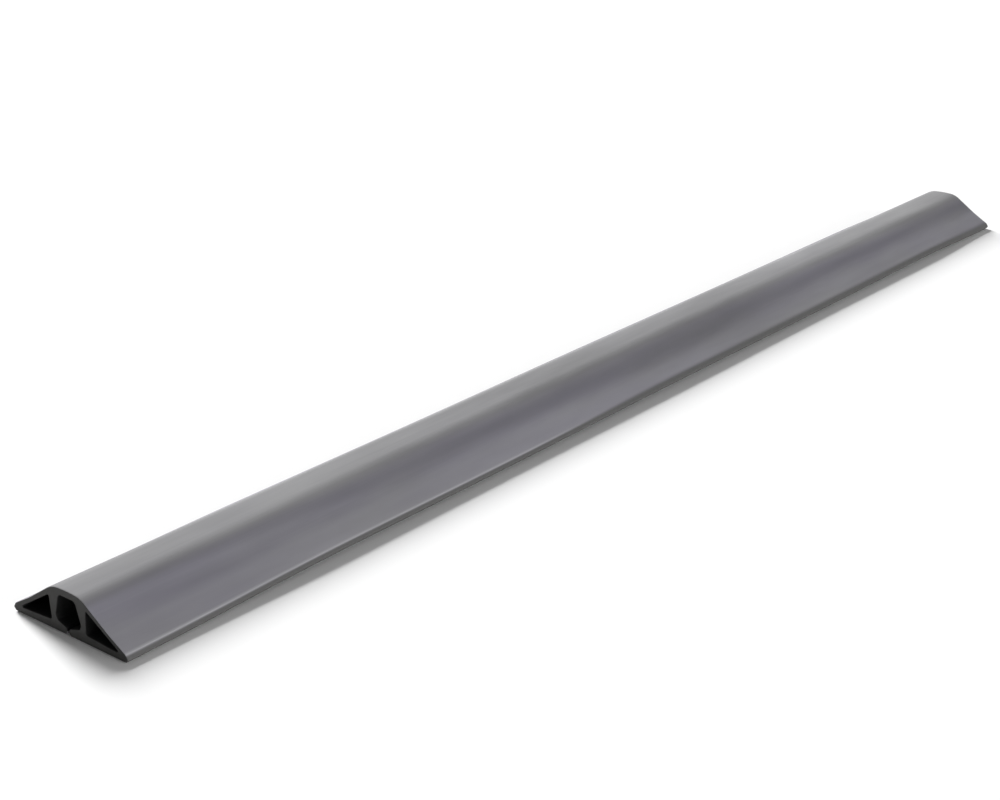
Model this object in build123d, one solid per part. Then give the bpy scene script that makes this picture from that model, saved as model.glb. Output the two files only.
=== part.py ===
from build123d import *
import math
import os

# Soft floor cable protector: one straight extrusion with a domed cable channel
# in the middle and a triangular channel under each flank.
# Frame: X across the strip, Y along it, Z up, underside on Z = 0, origin in the
# middle of the footprint. Millimetres and degrees. Section points are (X, Z)
# corners of the right half, each rounded by the radius named after it.

# Overall size
LENGTH = 1000.0
HEIGHT = 26.3
HALF_WIDTH = 46.0

# Outer surface
CROWN_APEX = (0.0, HEIGHT + 0.15)
CROWN_RADIUS = 90.0
SHOULDER = (11.6, 25.75)
SHOULDER_RADIUS = 17.0
FLANK_DIP = (31.6, 12.2)
FLANK_DIP_RADIUS = 60.0
TOE_BROW = (44.5, 4.7)
TOE_BROW_RADIUS = 1.2
TOE_TIP = (HALF_WIDTH + 0.3, 2.0)
TOE_TIP_RADIUS = 1.0
TOE_HEEL = (HALF_WIDTH - 1.5, 0.0)
TOE_HEEL_RADIUS = 1.6

# Triangular channel under each flank
FLANK_FOOT = (13.8, 5.3)
FLANK_FOOT_RADIUS = 1.3
FLANK_TOP = (14.8, 19.6)
FLANK_TOP_RADIUS = 0.9
FLANK_APEX = (40.4, 3.7)
FLANK_APEX_RADIUS = 0.7

# Domed channel in the middle
ROOF_CORNER = (6.6, 22.0)
ROOF_RADIUS = 3.0
WAIST_CORNER = (10.2, 9.4)
WAIST_RADIUS = 3.5

# Lips that close the middle channel below, and the slit between their round noses
LIP_SHOULDER = (8.6, 6.5)
LIP_SHOULDER_RADIUS = 0.8
LIP_NOSE_HEIGHT = 4.1
LIP_NOSE_RADIUS = 1.9
SLIT_WIDTH = 1.6
SLIT_OFFSET = -0.9

# Flexure lines: at the edges of the crown's thin roof, and along the root of each lip
CROWN_HINGE = (4.6, 24.55)
CROWN_HINGE_RADIUS = 1.5
CROWN_OPENING = 25.0
LIP_HINGE = (9.6, 3.2)
LIP_HINGE_RADIUS = 2.9
LIP_SWING = 20.0
HINGE_CLEARANCE = 0.2
RELIEF_MARGIN = 2.0
CROWN_FOOT_ANGLE = -100.0
BASE_TIP_ANGLE = -65.0

# Where neighbouring walls of one half are parted: square to the flank behind the
# toe and below the shoulder, and from the middle of each channel through its corners
TOE_PARTING = (45.4, 12.7)
SHOULDER_PARTING = (20.5, 28.0)
ROOF_PARTING = (4.0, 20.0)
MIDDLE_CENTRE = (0.0, 14.0)
FLANK_CENTRE = (23.0, 9.5)

# Construction reaches: past the whole section, and around one hinge only
BEYOND = 60.0
LIP_REACH = 14.0
HINGE_REACH = 6.0


def rounded_face(corners, radii):
    """Closed face on the section plane through the corners, each with its own radius."""
    return Plane.XZ * make_face(FilletPolyline(*corners, radius=radii, close=True))


def straight_face(corners):
    """Closed face on the section plane with sharp corners."""
    return Plane.XZ * make_face(Polyline(*corners, close=True))


def disc(centre, radius):
    """Round face on the section plane."""
    return Plane.XZ * (Pos(*centre) * Circle(radius))


def wedge(centre, start, end, reach):
    """Sector around a hinge line, between two directions counted from +X towards +Z."""
    rim = []
    for direction in (start, (start + end) / 2, end):
        angle = math.radians(direction)
        rim.append((centre[0] + reach * math.cos(angle), centre[1] + reach * math.sin(angle)))
    return straight_face([centre] + rim)


def outline():
    """The whole section, channels not yet cut."""
    right = [SHOULDER, FLANK_DIP, TOE_BROW, TOE_TIP, TOE_HEEL]
    radii = [SHOULDER_RADIUS, FLANK_DIP_RADIUS, TOE_BROW_RADIUS, TOE_TIP_RADIUS, TOE_HEEL_RADIUS]
    left = [(-x, z) for x, z in reversed(right)]
    return rounded_face([CROWN_APEX] + right + left, [CROWN_RADIUS] + radii + radii[::-1])


def flank_channel():
    """Triangular channel under the right flank."""
    radii = [FLANK_FOOT_RADIUS, FLANK_TOP_RADIUS, FLANK_APEX_RADIUS]
    return rounded_face([FLANK_FOOT, FLANK_TOP, FLANK_APEX], radii)


def middle_channel(nose):
    """Everything left of the right half's walls: the domed channel, and the slit beside the nose."""
    rounded = [ROOF_CORNER, WAIST_CORNER, LIP_SHOULDER, (nose, LIP_NOSE_HEIGHT), (nose, 0.0)]
    radii = [ROOF_RADIUS, WAIST_RADIUS, LIP_SHOULDER_RADIUS, LIP_NOSE_RADIUS, LIP_NOSE_RADIUS]
    under = [(LIP_SHOULDER[0], 0.0), (LIP_SHOULDER[0], -BEYOND), (-BEYOND, -BEYOND)]
    roof = [(-BEYOND, ROOF_CORNER[1])]
    return rounded_face(rounded + under + roof, radii + [0.0] * (len(under) + len(roof)))


def crown_section():
    """Thin roof between the two crown hinges, with a socket and a relief at each edge."""
    x = CROWN_HINGE[0]
    strip = straight_face([(-x, ROOF_CORNER[1]), (x, ROOF_CORNER[1]), (x, BEYOND), (-x, BEYOND)])
    open_side = 90 + CROWN_OPENING + RELIEF_MARGIN
    edge = disc(CROWN_HINGE, CROWN_HINGE_RADIUS + HINGE_CLEARANCE)
    edge += wedge(CROWN_HINGE, CROWN_FOOT_ANGLE, open_side, BEYOND)
    return (outline() & strip) - edge - mirror(edge, about=Plane.YZ)


def wall_areas():
    """Which part of the right half belongs to each wall but the lip, by name."""
    roof_edge = [ROOF_PARTING, (CROWN_HINGE[0], ROOF_PARTING[1]), (CROWN_HINGE[0], BEYOND)]
    areas = {
        "shoulder": roof_edge + [SHOULDER_PARTING, FLANK_TOP],
        "ramp": [FLANK_CENTRE, FLANK_TOP, SHOULDER_PARTING, TOE_PARTING, FLANK_APEX],
        "toe": [FLANK_APEX, TOE_PARTING, (BEYOND, -BEYOND), (FLANK_APEX[0], -BEYOND)],
        "base": [FLANK_CENTRE, FLANK_APEX, (FLANK_APEX[0], -BEYOND), (LIP_SHOULDER[0], -BEYOND)],
        "web": [ROOF_PARTING, FLANK_TOP, FLANK_CENTRE, FLANK_FOOT, LIP_SHOULDER, MIDDLE_CENTRE],
    }
    areas["base"] += [LIP_SHOULDER, FLANK_FOOT]
    return {name: straight_face(corners) for name, corners in areas.items()}


def half_walls(nose):
    """Sections of the right half's walls by name, for a lip that ends at the given X."""
    section = outline() - flank_channel() - middle_channel(nose)
    swing = 90 + LIP_SWING + RELIEF_MARGIN
    lip_area = wedge(LIP_HINGE, swing, 360 - swing, LIP_REACH)
    root = disc(LIP_HINGE, LIP_HINGE_RADIUS + HINGE_CLEARANCE)
    root += wedge(LIP_HINGE, 90 + RELIEF_MARGIN, 360 + BASE_TIP_ANGLE, HINGE_REACH)
    walls = {name: (section & area) - root for name, area in wall_areas().items()}
    walls["shoulder"] += disc(CROWN_HINGE, CROWN_HINGE_RADIUS)
    walls["lip"] = (section & lip_area) + disc(LIP_HINGE, LIP_HINGE_RADIUS)
    return walls


def write_wall(name, section):
    """Extrude one wall's section along the whole strip and write it."""
    wall = extrude(section, amount=LENGTH / 2, both=True)
    export_step(wall, f"parts/{name}.step")


def main():
    os.makedirs("parts", exist_ok=True)
    write_wall("crown", crown_section())
    for side in (1, -1):
        nose = side * SLIT_OFFSET + SLIT_WIDTH / 2
        for name, section in half_walls(nose).items():
            if side == 1:
                write_wall("right_" + name, section)
            else:
                write_wall("left_" + name, mirror(section, about=Plane.YZ))


main()
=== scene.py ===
import math

import bmesh
import bpy
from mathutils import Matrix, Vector
from mathutils.geometry import tessellate_polygon


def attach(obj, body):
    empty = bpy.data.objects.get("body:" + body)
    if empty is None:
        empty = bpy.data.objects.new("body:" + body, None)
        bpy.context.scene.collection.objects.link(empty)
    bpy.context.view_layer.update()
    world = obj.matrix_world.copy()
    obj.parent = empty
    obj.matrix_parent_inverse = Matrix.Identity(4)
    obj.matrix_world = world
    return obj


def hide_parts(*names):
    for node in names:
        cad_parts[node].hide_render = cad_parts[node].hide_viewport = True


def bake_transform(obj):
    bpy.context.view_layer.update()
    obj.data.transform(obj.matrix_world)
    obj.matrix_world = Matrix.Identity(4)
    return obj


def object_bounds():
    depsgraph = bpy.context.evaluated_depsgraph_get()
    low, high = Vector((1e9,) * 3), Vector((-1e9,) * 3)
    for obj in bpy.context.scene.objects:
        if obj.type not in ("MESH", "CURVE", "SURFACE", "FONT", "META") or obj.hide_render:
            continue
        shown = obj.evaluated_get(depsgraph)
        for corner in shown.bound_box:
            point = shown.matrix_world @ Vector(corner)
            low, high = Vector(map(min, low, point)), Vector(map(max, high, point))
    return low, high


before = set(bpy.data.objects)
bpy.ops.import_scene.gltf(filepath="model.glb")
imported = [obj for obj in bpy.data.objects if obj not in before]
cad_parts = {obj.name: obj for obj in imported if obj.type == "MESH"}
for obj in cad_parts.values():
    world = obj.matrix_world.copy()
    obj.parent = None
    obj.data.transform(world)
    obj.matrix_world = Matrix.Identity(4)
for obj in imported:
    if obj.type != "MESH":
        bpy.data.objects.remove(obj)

# Soft cable protector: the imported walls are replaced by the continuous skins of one
# soft extrusion. The scene is in metres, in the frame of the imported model. Values of the
# section and of the marks on it are in millimetres, unless they say otherwise.

MM = 0.001
CAD_LOW, CAD_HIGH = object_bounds()
LENGTH = CAD_HIGH.y - CAD_LOW.y
HEIGHT = CAD_HIGH.z / MM
HALF_WIDTH = CAD_HIGH.x / MM

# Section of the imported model: (X, Z, rounding radius) corners of the right half
CROWN_RADIUS = 90.0
CROWN_BREAK_X = 3.8
CROWN_BREAK_RADIUS = 85.5
SHOULDER = (11.6, 25.75, 17.0)
FLANK_DIP = (31.6, 12.2, 60.0)
TOE_BROW = (44.5, 4.7, 1.2)
TOE_TIP = (HALF_WIDTH + 0.3, 2.0, 1.0)
TOE_HEEL = (HALF_WIDTH - 1.5, 0.0, 1.6)
FLANK_FOOT = (13.8, 5.3, 1.3)
FLANK_TOP = (14.8, 19.6, 0.9)
FLANK_APEX = (40.4, 3.7, 0.7)
ROOF_CORNER = (6.6, 22.0, 3.0)
WAIST_CORNER = (10.2, 9.4, 3.5)
LIP_SHOULDER = (8.6, 6.5, 0.8)
LIP_NOSE_HEIGHT = 4.1
LIP_NOSE_RADIUS = 1.9
LIP_END = {"right": -0.1, "left": 1.7}

# X where skins meet
CROWN_SEAM = 2.4
LIP_SEAM = 7.9

# How far the soft toes stand off the floor, from which X they bend, over which share
# of the length the lift grows from the near end and dies away to the far end, and the
# slight waves on it: their share of the lift and their number over the length
TOE_LIFT = {"right": 2.5, "left": 1.4}
TOE_BEND_START = 30.0
NEAR_RISE = 0.17
FAR_RISE = 0.12
LIFT_WAVE = 0.12
LIFT_WAVES = 2.5

# Mesh fineness, the angle from which an edge is real, and the small broken edge around
# the square cuts
ARC_STEP = math.radians(5)
LINE_STEP = 1.2
STATIONS = 200
SHARP_ANGLE = math.radians(30)
CUT_EDGE = 0.25

# Painted highlight on the brow of the toe: its reach, and the shares of the length between
# which it fades. Painted light on the flatter lower flank: the X between which it grows, and its
# strength
BROW_HIGHLIGHT_REACH = 1.4
BROW_HIGHLIGHT_FADE_START = 0.3
BROW_HIGHLIGHT_FADE_END = 0.5
FLANK_LIGHT_START = 27.0
FLANK_LIGHT_END = 34.0
FLANK_LIGHT = 0.27

# Painted shade on the toe: the height of its upper edge and how softly it ends, below the
# painted highlight on the brow and where that highlight has faded
TOE_SHADE_UNDER_HIGHLIGHT = (4.4, 1.0)
TOE_SHADE_HIGHLIGHT_FADED = (6.8, 2.8)

# Painted shade along the steeper upper flank: its middle, its reach to each side and its
# depth, at the near end and from the given share of the length onwards
FLANK_SHADE_NEAR = (15.0, 4.5, 0.35)
FLANK_SHADE_FAR = (21.5, 8.8, 0.65)
FLANK_SHADE_GROWN = 0.3

# Bluish tinge of the flanks: the heights, in metres, where it is weakest on the crown
# and where it reaches its full strength
TINGE_TOP = 0.0245
TINGE_FULL = 0.0215
CROWN_TINGE = 0.15

# Colours of the grey PVC: the dark and light of its clouds, then its marks: painted shade
# on the upper flank, draw lines, painted light on the toe's brow and lower flank, and
# painted shade on the toe face
NEUTRAL_GREY = ((0.225, 0.224, 0.228), (0.35, 0.349, 0.352))
BLUISH_GREY = ((0.218, 0.211, 0.25), (0.346, 0.337, 0.392))
FLANK_SHADE_GREY = (0.185, 0.179, 0.207)
STREAK_GREY = (0.2, 0.2, 0.21)
PAINTED_LIGHT_GREY = (0.52, 0.515, 0.54)
TOE_SHADE_GREY = (0.155, 0.155, 0.153)
# Cut end: painted shade, far darker than the PVC
CUT_SHADE_GREY = ((0.04, 0.04, 0.038), (0.055, 0.054, 0.052))
# Channel insides: painted shade, nearly black
CHANNEL_SHADE_GREY = ((0.004, 0.004, 0.004), (0.008, 0.008, 0.008))
FLOOR_WHITE = ((0.94, 0.94, 0.94), (0.96, 0.96, 0.96))

# Material slots of every skin, and the sign of X on each side
SKIN, CUT, BORE = 0, 1, 2
SIDES = {"right": 1, "left": -1}

# Stage: floor and camera in metres, lamps as (turn, rise, strength, spread)
FLOOR_REACH = 8.0
FLOOR_Z = -0.0003
WORLD_STRENGTH = 0.15
LAMP_DISTANCE = 3.0
KEY_LAMP = (160.0, 27.0, 5.7, 22.0)
FILL_LAMP = (5.0, 12.0, 1.75, 36.0)
CAMERA_LENS = 65.2
CAMERA_PLACE = (0.6928, -1.0040, 0.4607)
CAMERA_PITCH = 21.69
CAMERA_TURN = 38.875


# ---- Section outlines -----------------------------------------------------------

def rounded_corner(before, corner, after):
    """Points of the arc that rounds one corner, or the corner itself if it is sharp."""
    point = Vector(corner[:2])
    radius = corner[2]
    if radius == 0:
        return [point]
    back = (Vector(before[:2]) - point).normalized()
    ahead = (Vector(after[:2]) - point).normalized()
    half = back.angle(ahead) / 2
    centre = point + (back + ahead).normalized() * (radius / math.sin(half))
    reach = radius / math.tan(half)
    start = point + back * reach - centre
    end = point + ahead * reach - centre
    turn = math.atan2(start.cross(end), start.dot(end))
    first = math.atan2(start.y, start.x)
    steps = max(3, math.ceil(abs(turn) / ARC_STEP))
    arc = []
    for step in range(steps + 1):
        angle = first + turn * step / steps
        arc.append(centre + Vector((math.cos(angle), math.sin(angle))) * radius)
    return arc


def filled_in(points):
    """The same path with its long straight stretches divided."""
    path = [points[0]]
    for point in points[1:]:
        start = path[-1]
        steps = max(1, round((point - start).length / LINE_STEP))
        path += [start.lerp(point, step / steps) for step in range(1, steps + 1)]
    return path


def open_path(*corners):
    """Divided path from the first corner to the last, with the corners between them rounded."""
    points = [Vector(corners[0][:2])]
    for before, corner, after in zip(corners, corners[1:], corners[2:]):
        points += rounded_corner(before, corner, after)
    points.append(Vector(corners[-1][:2]))
    return filled_in(points)


def closed_path(*corners):
    """Divided closed loop with every corner rounded."""
    points = []
    for index, corner in enumerate(corners):
        points += rounded_corner(corners[index - 1], corner, corners[(index + 1) % len(corners)])
    return filled_in(points + points[:1])[:-1]


def crown_height(x):
    """Height of the crown's wide arc at a small X."""
    return HEIGHT - CROWN_RADIUS + math.sqrt(CROWN_RADIUS * CROWN_RADIUS - x * x)


def crown_break():
    """Corner where the crown's wide arc passes into the straight run to the shoulder."""
    slope = CROWN_SEAM / CROWN_RADIUS
    height = crown_height(CROWN_SEAM) - slope * (CROWN_BREAK_X - CROWN_SEAM)
    return (CROWN_BREAK_X, height, CROWN_BREAK_RADIUS)


def lip_top(side):
    """Height of a lip's upper face at its seam, on the line from its shoulder to its nose."""
    run = LIP_SHOULDER[0] - LIP_END[side]
    fall = (LIP_SHOULDER[1] - LIP_NOSE_HEIGHT) * (LIP_SHOULDER[0] - LIP_SEAM) / run
    return LIP_SHOULDER[1] - fall


# A loop is a list of stretches (points, finish) that runs with the material on its left.
# Finish None marks a seam, where a skin meets its neighbour.

def crown_loops():
    """The strip of roof between the two halves."""
    steps = round(2 * CROWN_SEAM / LINE_STEP)
    across = [CROWN_SEAM * (1 - 2 * step / steps) for step in range(steps + 1)]
    top = [Vector((x, crown_height(x))) for x in across]
    roof = [Vector((-x, ROOF_CORNER[1])) for x in across]
    left_seam = filled_in([top[-1], roof[0]])
    right_seam = filled_in([roof[-1], top[0]])
    return [[(top, SKIN), (left_seam, None), (roof, BORE), (right_seam, None)]]


def half_loops(side):
    """One half without its lip: the outer loop, then its flank channel."""
    seam_top = (CROWN_SEAM, crown_height(CROWN_SEAM))
    seam_roof = (CROWN_SEAM, ROOF_CORNER[1])
    foot = (LIP_SEAM, 0.0)
    head = (LIP_SEAM, lip_top(side))
    outside = open_path(foot, TOE_HEEL, TOE_TIP, TOE_BROW, FLANK_DIP, SHOULDER, crown_break(), seam_top)
    inside = open_path(seam_roof, ROOF_CORNER, WAIST_CORNER, LIP_SHOULDER, head)
    crown_seam = open_path(seam_top, seam_roof)
    lip_seam = open_path(head, foot)
    channel = closed_path(FLANK_FOOT, FLANK_TOP, FLANK_APEX)
    outer = [(outside, SKIN), (crown_seam, None), (inside, BORE), (lip_seam, None)]
    return [outer, [(channel + channel[:1], BORE)]]


def lip_loops(side):
    """One lip, from its seam to its round nose."""
    end = LIP_END[side]
    foot = (LIP_SEAM, 0.0)
    head = (LIP_SEAM, lip_top(side))
    middle = (end, LIP_NOSE_HEIGHT / 2)
    top = open_path(head, (end, LIP_NOSE_HEIGHT, LIP_NOSE_RADIUS), middle)
    bottom = open_path(middle, (end, 0.0, LIP_NOSE_RADIUS), foot)
    return [[(top, BORE), (bottom, SKIN), (open_path(foot, head), None)]]


def mirrored(loops):
    """The same loops for the left half, still with the material on their left."""
    flipped = []
    for loop in loops:
        stretches = []
        for points, finish in reversed(loop):
            stretches.append(([Vector((-point.x, point.y)) for point in reversed(points)], finish))
        flipped.append(stretches)
    return flipped


# ---- Skins ----------------------------------------------------------------------

def edge_normals(loop):
    """Points of a loop, the finish of the edge after each, and the way out of the material there."""
    points = []
    finishes = []
    for stretch, finish in loop:
        points += stretch[:-1]
        finishes += [finish] * (len(stretch) - 1)
    ways_out = []
    for index, point in enumerate(points):
        way = Vector((0.0, 0.0))
        for edge in (index - 1, index):
            if finishes[edge] is not None:
                along = (points[(edge + 1) % len(points)] - points[edge]).normalized()
                way += Vector((along.y, -along.x))
        ways_out.append(way.normalized() if way.length else way)
    return points, finishes, ways_out


def stations():
    """Distances along the strip where the section is repeated, with how far it is drawn in there."""
    near = CAD_LOW.y / MM
    far = CAD_HIGH.y / MM
    inner = far - near - 2 * CUT_EDGE
    run = [(near, CUT_EDGE)]
    run += [(near + CUT_EDGE + inner * step / STATIONS, 0.0) for step in range(STATIONS + 1)]
    run.append((far, CUT_EDGE))
    return run


def eased(value):
    """Smooth step from 0 to 1 as the value goes from 0 to 1."""
    value = min(1.0, max(0.0, value))
    return value * value * (3 - 2 * value)


def share_along(y):
    """Place along the strip as a share of its length, from the near end."""
    return (y * MM - CAD_LOW.y) / LENGTH


def toe_lift(x, y):
    """How far the toe stands off the floor at this place: not at the ends, most in mid length."""
    along = share_along(y)
    side = "right" if x > 0 else "left"
    swell = eased(along / NEAR_RISE) * eased((1 - along) / FAR_RISE)
    waver = 1 + LIFT_WAVE * math.sin(2 * math.pi * LIFT_WAVES * along)
    reach = max(0.0, (abs(x) - TOE_BEND_START) / (HALF_WIDTH - TOE_BEND_START))
    return TOE_LIFT[side] * swell * waver * reach ** 2


def settled(x, y, z):
    """Where a point of the ideal section lies on the soft strip as it rests, in millimetres."""
    return Vector((x, y, z + toe_lift(x, y)))


def highlight_fade(y):
    """How far the painted highlight on the brow has faded: 0 at the near end, 1 at the far one."""
    return eased((share_along(y) - BROW_HIGHLIGHT_FADE_START) / (BROW_HIGHLIGHT_FADE_END - BROW_HIGHLIGHT_FADE_START))


def painted_brow_and_flank_light(point, y):
    """Painted light on the outer surface: a painted highlight of 1 on the sharp brow of the toe, weaker
    painted light on the lower flank.
    """
    crest = Vector((TOE_BROW[0], TOE_BROW[1]))
    distance = (Vector((abs(point.x), point.y)) - crest).length
    brow_highlight = max(0.0, 1.0 - distance / BROW_HIGHLIGHT_REACH) * (1 - highlight_fade(y))
    if point.y < TOE_BROW[1]:
        return brow_highlight
    lower_flank_light = FLANK_LIGHT * eased((abs(point.x) - FLANK_LIGHT_START) / (FLANK_LIGHT_END - FLANK_LIGHT_START))
    return max(brow_highlight, lower_flank_light)


def painted_flank_shade(point, y):
    """Painted shade along the upper flank, deepest in its middle and 0 at its edges."""
    if point.y < TOE_BROW[1]:
        return 0.0
    grown_share = eased(share_along(y) / FLANK_SHADE_GROWN)
    middle, reach, depth = Vector(FLANK_SHADE_NEAR).lerp(Vector(FLANK_SHADE_FAR), grown_share)
    return depth * eased(1 - abs(abs(point.x) - middle) / reach)


def painted_toe_shade(point, y):
    """Painted shade on the toe, from 0 at its upper edge to 1 where it is darkest."""
    if abs(point.x) < FLANK_APEX[0]:
        return 0.0
    top, softness = Vector(TOE_SHADE_UNDER_HIGHLIGHT).lerp(Vector(TOE_SHADE_HIGHLIGHT_FADED), highlight_fade(y))
    return eased((top - point.y) / softness)


def sweep(name, loops):
    """Closed mesh of one skin: its loops repeated along the strip, with flat square ends."""
    vertices = []
    marks = {"painted_light": [], "toe_shade": [], "flank_shade": []}
    faces = []
    finishes = []
    run = stations()
    starts = []
    for loop in loops:
        points, edge_finishes, ways_out = edge_normals(loop)
        count = len(points)
        base = len(vertices)
        starts.append((base, count))
        for y, inset in run:
            for point, way in zip(points, ways_out):
                drawn = point - way * inset
                vertices.append(settled(drawn.x, y, drawn.y) * MM)
                marks["painted_light"].append(painted_brow_and_flank_light(drawn, y))
                marks["toe_shade"].append(painted_toe_shade(drawn, y))
                marks["flank_shade"].append(painted_flank_shade(drawn, y))
        for ring in range(len(run) - 1):
            here = base + ring * count
            for index, finish in enumerate(edge_finishes):
                after = (index + 1) % count
                faces.append((here + index, here + count + index, here + count + after, here + after))
                finishes.append(CUT if finish is None else finish)
    for ring in (0, len(run) - 1):
        rims = [range(base + ring * count, base + (ring + 1) * count) for base, count in starts]
        order = [index for rim in rims for index in rim]
        for corners in tessellate_polygon([[vertices[index] for index in rim] for rim in rims]):
            faces.append(tuple(order[corner] for corner in corners))
            finishes.append(CUT)
    return finished_mesh(name, vertices, faces, finishes, marks)


def finished_mesh(name, vertices, faces, finishes, marks):
    """Object from the swept faces, facing outwards, smooth except at real edges."""
    mesh = bpy.data.meshes.new(name)
    mesh.from_pydata(vertices, [], faces)
    mesh.polygons.foreach_set("material_index", finishes)
    mesh.polygons.foreach_set("use_smooth", [True] * len(faces))
    for mark, values in marks.items():
        mesh.attributes.new(mark, "FLOAT", "POINT").data.foreach_set("value", values)
    build = bmesh.new()
    build.from_mesh(mesh)
    caps = [face for face in build.faces if len(face.verts) == 3]
    inner = [edge for edge in build.edges if all(len(face.verts) == 3 for face in edge.link_faces)]
    bmesh.ops.beautify_fill(build, faces=caps, edges=inner)
    bmesh.ops.recalc_face_normals(build, faces=build.faces)
    build.to_mesh(mesh)
    build.free()
    mesh.set_sharp_from_angle(angle=SHARP_ANGLE)
    skin = bpy.data.objects.new(name, mesh)
    bpy.context.scene.collection.objects.link(skin)
    return skin


# ---- Materials ------------------------------------------------------------------

SHADER_SOCKETS = {
    "color": "Base Color",
    "roughness": "Roughness",
    "normal": "Normal",
    "gloss": "Specular IOR Level",
}


class Nodes:
    """Adds and joins the nodes of one material."""

    def __init__(self, name):
        self.material = bpy.data.materials.new(name)
        self.material.use_nodes = True
        self.tree = self.material.node_tree
        self.shader = next(n for n in self.tree.nodes if n.type == "BSDF_PRINCIPLED")
        self.place = self.add("ShaderNodeTexCoord").outputs["Object"]

    def add(self, kind, inputs=(), **settings):
        """New node with its settings, and its inputs as values or as sockets to join."""
        node = self.tree.nodes.new(kind)
        for key, value in settings.items():
            setattr(node, key, value)
        for key, value in dict(inputs).items():
            if isinstance(value, bpy.types.NodeSocket):
                self.tree.links.new(value, node.inputs[key])
            else:
                node.inputs[key].default_value = value
        return node

    def noise(self, per_metre, detail=3.0, roughness=0.5):
        """Noise with its own number of features per metre along X, Y and Z."""
        scaled = self.add("ShaderNodeMapping", {"Vector": self.place, "Scale": per_metre})
        inputs = {"Vector": scaled.outputs[0], "Scale": 1.0, "Detail": detail, "Roughness": roughness}
        return self.add("ShaderNodeTexNoise", inputs).outputs["Fac"]

    def span(self, value, start, end, low, high):
        """Value that goes from low to high as the given one goes from start to end."""
        inputs = {"Value": value, "From Min": start, "From Max": end, "To Min": low, "To Max": high}
        return self.add("ShaderNodeMapRange", inputs).outputs["Result"]

    def ramp(self, noise, low, high):
        """Noise stretched from the range where most of it lies to low..high."""
        return self.span(noise, 0.3, 0.7, low, high)

    def product(self, first, second):
        """One value times the other."""
        return self.add("ShaderNodeMath", {0: first, 1: second}, operation="MULTIPLY").outputs[0]

    def mark(self, name):
        """How strong a mark of the mesh is at each place."""
        return self.add("ShaderNodeAttribute", attribute_name=name).outputs["Fac"]

    def bump(self, height, depth, strength, under=None):
        """Surface normal over small relief, on top of any relief given as under."""
        inputs = {"Height": height, "Distance": depth, "Strength": strength}
        if under is not None:
            inputs["Normal"] = under
        return self.add("ShaderNodeBump", inputs).outputs["Normal"]

    @staticmethod
    def solid(color):
        """An RGB triple with its alpha; a socket is left as it is."""
        return color if isinstance(color, bpy.types.NodeSocket) else (*color, 1.0)

    def tint(self, share, first, second):
        """Colour that goes from the first to the second as the share goes from 0 to 1."""
        inputs = {"Factor": share, "A": self.solid(first), "B": self.solid(second)}
        node = self.add("ShaderNodeMix", data_type="RGBA")
        for key, value in inputs.items():
            socket = [s for s in node.inputs if s.name == key and s.enabled][0]
            if isinstance(value, bpy.types.NodeSocket):
                self.tree.links.new(value, socket)
            else:
                socket.default_value = value
        return [s for s in node.outputs if s.enabled][0]

    def finish(self, **sockets):
        """The material, with these values or sockets on its shader."""
        for key, value in sockets.items():
            socket = self.shader.inputs[SHADER_SOCKETS[key]]
            if isinstance(value, bpy.types.NodeSocket):
                self.tree.links.new(value, socket)
            else:
                socket.default_value = value
        return self.material


def skin_material():
    """Satin grey PVC: long cloudy streaks from the die, fine draw lines and grain, with painted shade
    on the upper flank and toe face and painted light on the toe's brow and lower flank.
    """
    pvc = Nodes("grey_pvc")
    clouds = pvc.noise((22.0, 3.5, 22.0), detail=4.0, roughness=0.6)
    tinge = pvc.noise((34.0, 6.0, 34.0), detail=2.0)
    lines = pvc.noise((900.0, 5.0, 900.0), detail=4.0)
    grain = pvc.noise((2600.0, 2600.0, 2600.0), detail=2.0)

    neutral = pvc.tint(pvc.ramp(clouds, 0.0, 1.0), *NEUTRAL_GREY)
    bluish = pvc.tint(pvc.ramp(clouds, 0.0, 1.0), *BLUISH_GREY)
    height = pvc.add("ShaderNodeSeparateXYZ", {0: pvc.place}).outputs["Z"]
    below_crown = pvc.span(height, TINGE_TOP, TINGE_FULL, CROWN_TINGE, 1.0)
    color = pvc.tint(pvc.product(pvc.ramp(tinge, 0.1, 0.9), below_crown), neutral, bluish)

    # Painted shade along the upper flank
    color = pvc.tint(pvc.product(pvc.mark("flank_shade"), pvc.ramp(tinge, 0.6, 1.0)), color, FLANK_SHADE_GREY)
    color = pvc.tint(pvc.ramp(lines, 0.0, 0.12), color, STREAK_GREY)
    # Painted highlight on the toe's brow and painted light on the lower flank, broken by the draw lines
    color = pvc.tint(pvc.product(pvc.mark("painted_light"), pvc.ramp(lines, 0.8, 1.0)), color, PAINTED_LIGHT_GREY)
    # Painted shade on the toe face
    color = pvc.tint(pvc.mark("toe_shade"), color, TOE_SHADE_GREY)

    normal = pvc.bump(grain, 0.0001, 0.15, under=pvc.bump(lines, 0.0002, 0.12))
    return pvc.finish(color=color, roughness=pvc.ramp(clouds, 0.6, 0.7), normal=normal, gloss=0.02)


def shaded_cut_material():
    """The saw-cut end: the same PVC with painted shade that makes it much darker, quite matt, with
    faint tool marks.
    """
    cut = Nodes("cut_pvc_painted_shade")
    marks = cut.noise((300.0, 300.0, 2400.0), detail=3.0)
    patch = cut.noise((220.0, 220.0, 220.0), detail=3.0)
    color = cut.tint(patch, *CUT_SHADE_GREY)
    return cut.finish(color=color, roughness=0.8, normal=cut.bump(marks, 0.0002, 0.3))


def shaded_bore_material():
    """The inside of the channels: unpolished, with painted shade that makes it nearly black."""
    bore = Nodes("channel_pvc_painted_shade")
    lines = bore.noise((700.0, 6.0, 700.0), detail=3.0)
    color = bore.tint(lines, *CHANNEL_SHADE_GREY)
    return bore.finish(color=color, roughness=0.7, normal=bore.bump(lines, 0.0002, 0.2))


# ---- Pieces ---------------------------------------------------------------------

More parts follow.
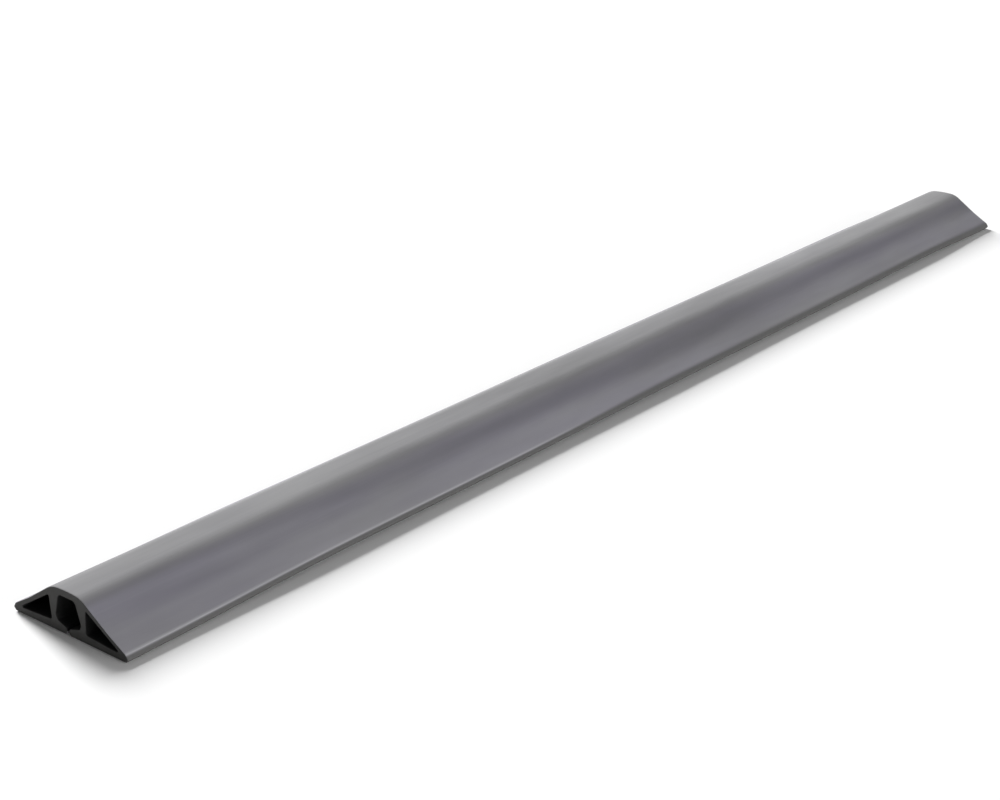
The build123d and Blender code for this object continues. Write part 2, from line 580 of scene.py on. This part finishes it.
def add_piece(name, loops, replaced, materials):
    """One skin with its materials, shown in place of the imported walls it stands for."""
    piece = sweep(name, loops)
    for material in materials:
        piece.data.materials.append(material)
    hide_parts(*replaced)
    return piece


def add_skins():
    """The roof strip, and on each side a half and its lip, meeting at seams."""
    materials = [skin_material(), shaded_cut_material(), shaded_bore_material()]
    crown = add_piece("crown_strip", crown_loops(), ["crown"], materials)
    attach(crown, "crown")
    for side, sign in SIDES.items():
        half = half_loops(side)
        lip = lip_loops(side)
        if sign < 0:
            half = mirrored(half)
            lip = mirrored(lip)
        walls = [f"{side}_{wall}" for wall in ("shoulder", "ramp", "toe", "base", "web")]
        half_piece = add_piece(f"{side}_side", half, walls, materials)
        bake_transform(half_piece)
        lip_piece = add_piece(f"{side}_slit_lip", lip, [f"{side}_lip"], materials)
        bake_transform(lip_piece)


# ---- Stage, light and camera ----------------------------------------------------

def add_floor():
    """Plain white floor, a hair below the underside."""
    mesh = bpy.data.meshes.new("floor")
    quarters = ((-1, -1), (1, -1), (1, 1), (-1, 1))
    corners = [(x * FLOOR_REACH, y * FLOOR_REACH, FLOOR_Z) for x, y in quarters]
    mesh.from_pydata(corners, [], [(0, 1, 2, 3)])
    floor = bpy.data.objects.new("floor", mesh)
    bpy.context.scene.collection.objects.link(floor)
    paint = Nodes("white_floor")
    color = paint.tint(paint.noise((40.0, 40.0, 40.0)), *FLOOR_WHITE)
    mesh.materials.append(paint.finish(color=color, roughness=0.9))


def add_lamp(name, turn, rise, strength, spread):
    """Broad soft lamp: turn counts from +X towards +Y, rise is its height over the floor."""
    light = bpy.data.lights.new(name, "SUN")
    light.energy = strength
    light.angle = math.radians(spread)
    lamp = bpy.data.objects.new(name, light)
    lamp.rotation_euler = (0.0, math.radians(90 - rise), math.radians(turn))
    lamp.location = lamp.rotation_euler.to_matrix() @ Vector((0.0, 0.0, LAMP_DISTANCE))
    bpy.context.scene.collection.objects.link(lamp)


def add_light():
    """Key lamp low behind the left side, a weak low one on the right, and an even white room."""
    world = bpy.data.worlds.new("studio")
    bpy.context.scene.world = world
    world.use_nodes = True
    background = world.node_tree.nodes["Background"]
    background.inputs["Color"].default_value = (1.0, 1.0, 1.0, 1.0)
    background.inputs["Strength"].default_value = WORLD_STRENGTH
    add_lamp("key_lamp", *KEY_LAMP)
    add_lamp("fill_lamp", *FILL_LAMP)


def add_camera():
    """View from the near right, a little above."""
    camera = bpy.data.cameras.new("camera")
    camera.sensor_width = 36.0
    camera.lens = CAMERA_LENS
    camera.clip_start = 0.01
    eye = bpy.data.objects.new("camera", camera)
    eye.location = CAMERA_PLACE
    eye.rotation_euler = (math.radians(90 - CAMERA_PITCH), 0.0, math.radians(CAMERA_TURN))
    bpy.context.scene.collection.objects.link(eye)
    bpy.context.scene.camera = eye


def main():
    add_skins()
    add_floor()
    add_light()
    add_camera()
    bpy.context.scene.view_settings.view_transform = "Standard"


main()
